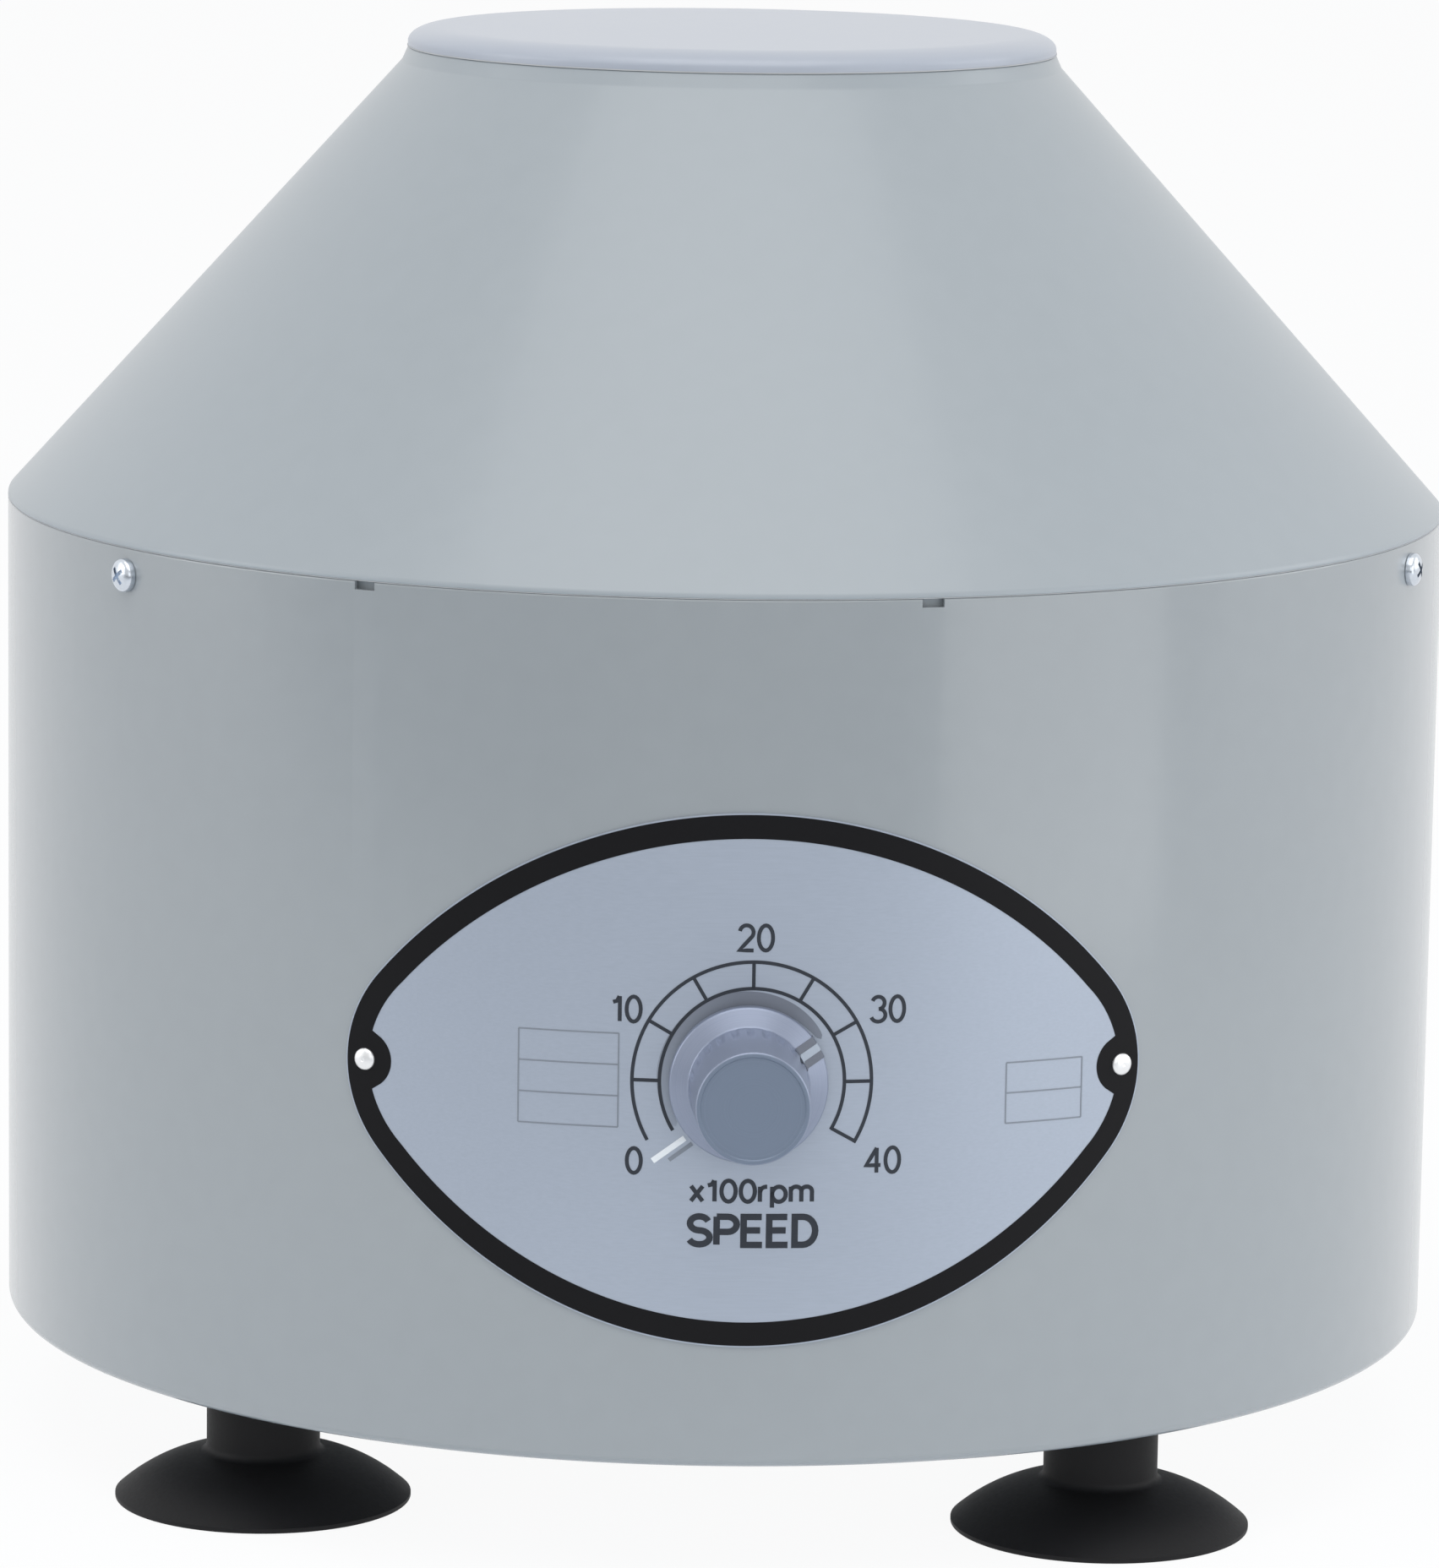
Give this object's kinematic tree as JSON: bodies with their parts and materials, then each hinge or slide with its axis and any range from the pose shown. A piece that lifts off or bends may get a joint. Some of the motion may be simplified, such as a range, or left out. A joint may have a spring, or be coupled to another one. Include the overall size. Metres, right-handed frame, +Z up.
{
  "type": "mini centrifuge",
  "caption": "Drum-shaped bench centrifuge with a conical top, lift-off lid, fixed-angle rotor for tubes, speed knob on an oval plate and suction feet.",
  "frame": {"origin": "on the drum's axis, at the bench surface under the feet", "axes": "+Z up along the drum's and rotor's axis, -Y towards the front with the nameplate and knob, +X to the right as seen from the front"},
  "size_m": [0.26, 0.3036, 0.2553],
  "materials": {
    "drum_paint": "smooth satin grey paint",
    "cone_paint": "smooth satin grey paint",
    "lid_paint": "smooth light grey paint",
    "black_rubber": "moulded matt rubber",
    "zinc_steel": "bright zinc plate",
    "sheet_steel": "galvanised sheet",
    "plate_aluminium": "satin anodised",
    "bright_aluminium": "bright",
    "knob_aluminium": "turned and knurled",
    "cast_aluminium": "machined casting",
    "black_plastic": "moulded",
    "blue_plastic": "moulded",
    "white_plastic": "moulded nylon",
    "green_board": "solder mask",
    "terminal_green": "moulded",
    "yellow_film": "moulded box",
    "motor_paint": "dark enamel",
    "lamination_steel": "stacked laminations",
    "copper_wire": "enamelled copper",
    "copper_bars": "bare copper",
    "brass": "turned",
    "carbon": "pressed carbon",
    "bearing_steel": "ground and polished"
  },
  "bodies": {
    "housing": {"drum": "drum_paint", "top_cone": "cone_paint", "cone_screws": "zinc_steel", "base_plate": "sheet_steel", "base_screws": "zinc_steel", "foot_1": "black_rubber", "foot_2": "black_rubber", "foot_3": "black_rubber", "foot_4": "black_rubber", "foot_screws": "zinc_steel", "nameplate": "plate_aluminium", "nameplate_rivets": "bright_aluminium", "pot_body": "black_plastic", "pot_nut": "zinc_steel", "control_board": "green_board", "triac": "black_plastic", "heat_sink": "cast_aluminium", "board_capacitor": "yellow_film", "terminal_block": "terminal_green", "board_standoffs": "white_plastic", "deck": "sheet_steel", "deck_pillars": "zinc_steel", "pillar_screws": "zinc_steel", "motor_isolators": "black_rubber", "motor_screws": "zinc_steel", "motor_housing": "motor_paint", "motor_top_cover": "cast_aluminium", "motor_base_cover": "cast_aluminium", "field_core": "lamination_steel", "field_coils": "copper_wire", "bearing_outer_rings": "bearing_steel", "brush_holders": "brass", "carbon_brushes": "carbon", "brush_springs": "zinc_steel", "switch_bezel": "black_plastic", "fuse_holder": "black_plastic", "cord_bushing": "black_plastic"},
    "lid": {"lid": "lid_paint", "lid_ring": "sheet_steel", "lid_gasket": "black_rubber"},
    "rotor": {"motor_shaft": "bearing_steel", "armature_core": "lamination_steel", "armature_coils": "copper_wire", "commutator": "copper_bars", "cooling_fan": "black_plastic", "bearing_inner_rings": "bearing_steel", "rotor_head": "cast_aluminium", "rotor_nut": "zinc_steel", "tube_sleeve_1": "blue_plastic", "tube_sleeve_2": "blue_plastic", "tube_sleeve_3": "blue_plastic", "tube_sleeve_4": "blue_plastic", "tube_sleeve_5": "blue_plastic", "tube_sleeve_6": "blue_plastic"},
    "bearing_cages": {"bearing_cages": "bearing_steel"},
    "speed_knob": {"knob": "knob_aluminium", "knob_screw": "zinc_steel", "pot_shaft": "bright_aluminium"},
    "power_rocker": {"switch_rocker": "black_plastic"},
    "fuse_cap": {"fuse_cap": "black_plastic"}
  },
  "joints": [
    {"name": "lid_lift", "type": "slide", "parent": "housing", "child": "lid", "axis": [0, 0, 1], "range_m": [0, 0.15]},
    {"name": "rotor_spin", "type": "hinge", "parent": "housing", "child": "rotor", "pos_m": [0, 0, 0.1], "axis": [0, 0, 1], "continuous": true},
    {"name": "cage_spin", "type": "hinge", "parent": "housing", "child": "bearing_cages", "pos_m": [0, 0, 0.1], "axis": [0, 0, 1], "continuous": true},
    {"name": "knob_turn", "type": "hinge", "parent": "housing", "child": "speed_knob", "pos_m": [0, -0.13, 0.0892], "axis": [0, -1, 0], "range_deg": [-60, 180]},
    {"name": "rocker_tip", "type": "hinge", "parent": "housing", "child": "power_rocker", "pos_m": [0.05346, 0.11465, 0.062], "axis": [-0.9063, 0.4226, 0], "range_deg": [0, 16]},
    {"name": "fuse_cap_turn", "type": "hinge", "parent": "housing", "child": "fuse_cap", "pos_m": [-0.05494, 0.11782, 0.062], "axis": [-0.4226, 0.9063, 0], "range_deg": [0, 45]}
  ],
  "couplings": [
    {"joint": "cage_spin", "follows": "rotor_spin", "ratio": 0.37}
  ]
}
